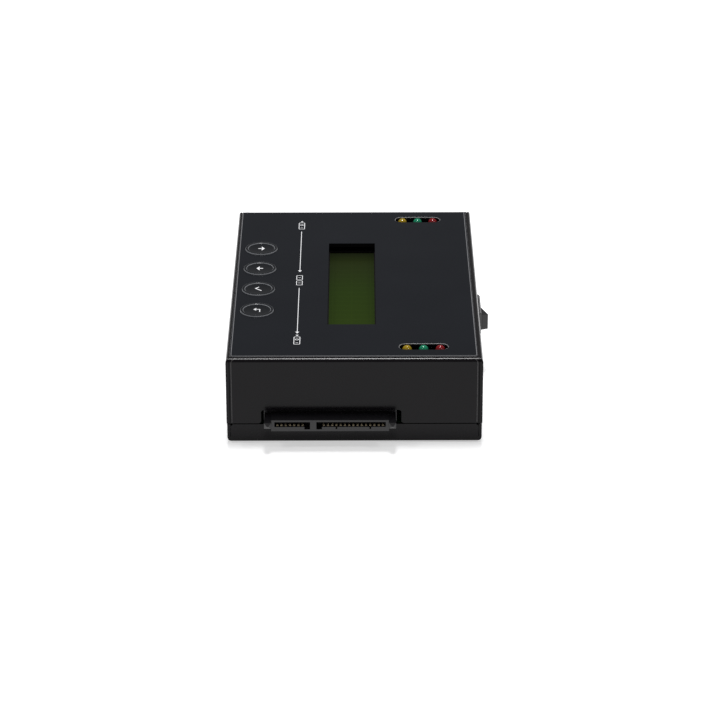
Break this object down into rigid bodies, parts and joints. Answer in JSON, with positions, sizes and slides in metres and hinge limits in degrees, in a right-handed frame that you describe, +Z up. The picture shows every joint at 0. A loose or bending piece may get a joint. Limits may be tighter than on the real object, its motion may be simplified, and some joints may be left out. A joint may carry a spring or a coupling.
{
  "type": "drive duplicator",
  "caption": "Desktop drive duplicator: folded metal case with a drive port at each end, display window, press keys, indicator lamps, power rocker and power jack.",
  "frame": {"origin": "middle of the case on the plane its feet stand on", "axes": "+Z up; the target port faces -Y and the source port +Y; the power switch and jack face +X; the keys are along the -X edge of the top"},
  "size_m": [0.0809, 0.1316, 0.0287],
  "materials": {
    "cover_paint": "fine textured powder coat, satin",
    "panel_film": "satin printed film",
    "key_film": "satin embossed film",
    "display_glass": "clear over a yellow-green display",
    "bezel_steel": "black coated steel",
    "circuit_board": "solder resist",
    "black_moulding": "moulded, fine grain",
    "chip_resin": "moulded resin",
    "white_nylon": "moulded",
    "tinned_metal": "tinned",
    "gold_plate": "gold plated",
    "plated_steel": "zinc plated",
    "aluminium_can": "satin",
    "lamp_yellow": "tinted clear resin",
    "lamp_green": "tinted clear resin",
    "lamp_red": "tinted clear resin",
    "foot_rubber": "matt"
  },
  "bodies": {
    "case": {"top_cover": "cover_paint", "bottom_tray": "cover_paint", "panel_film": "panel_film", "rubber_feet": "foot_rubber", "lower_standoffs": "plated_steel", "middle_standoffs": "plated_steel", "upper_standoffs": "plated_steel", "case_screws": "plated_steel", "key_switches": "black_moulding", "main_board": "circuit_board", "panel_board": "circuit_board", "controller_chip": "chip_resin", "memory_chip": "chip_resin", "firmware_chip": "chip_resin", "clock_crystal": "aluminium_can", "power_inductor": "chip_resin", "board_connector": "white_nylon", "filter_capacitors": "aluminium_can", "lcd_board": "circuit_board", "lcd_bezel": "bezel_steel", "lcd_glass": "display_glass", "lcd_backlight": "white_nylon", "lcd_header": "black_moulding", "lcd_supports": "white_nylon", "target_lamp_holder": "white_nylon", "source_lamp_holder": "white_nylon", "target_lamp_leads": "tinned_metal", "source_lamp_leads": "tinned_metal", "target_receptacle": "black_moulding", "source_receptacle": "black_moulding", "target_contacts": "gold_plate", "source_contacts": "gold_plate", "switch_housing": "black_moulding", "switch_terminals": "tinned_metal", "power_jack": "black_moulding", "jack_pin": "tinned_metal", "jack_terminals": "tinned_metal", "target_lamp_yellow": "lamp_yellow", "target_lamp_green": "lamp_green", "target_lamp_red": "lamp_red", "source_lamp_yellow": "lamp_yellow", "source_lamp_green": "lamp_green", "source_lamp_red": "lamp_red"},
    "up_key": {"up_button": "key_film", "up_switch_stem": "black_moulding"},
    "down_key": {"down_button": "key_film", "down_switch_stem": "black_moulding"},
    "enter_key": {"enter_button": "key_film", "enter_switch_stem": "black_moulding"},
    "back_key": {"back_button": "key_film", "back_switch_stem": "black_moulding"},
    "rocker": {"power_rocker": "black_moulding"}
  },
  "joints": [
    {"name": "up_key_press", "type": "slide", "parent": "case", "child": "up_key", "axis": [0, 0, -1], "range_m": [0, 0.00035], "stiffness_N_per_m": 600, "springref_m": -0.0003},
    {"name": "down_key_press", "type": "slide", "parent": "case", "child": "down_key", "axis": [0, 0, -1], "range_m": [0, 0.00035], "stiffness_N_per_m": 600, "springref_m": -0.0003},
    {"name": "enter_key_press", "type": "slide", "parent": "case", "child": "enter_key", "axis": [0, 0, -1], "range_m": [0, 0.00035], "stiffness_N_per_m": 600, "springref_m": -0.0003},
    {"name": "back_key_press", "type": "slide", "parent": "case", "child": "back_key", "axis": [0, 0, -1], "range_m": [0, 0.00035], "stiffness_N_per_m": 600, "springref_m": -0.0003},
    {"name": "power_switch_rock", "type": "hinge", "parent": "case", "child": "rocker", "pos_m": [0.0385, 0, 0.01625], "axis": [0, 0, -1], "range_deg": [0, 21]}
  ]
}
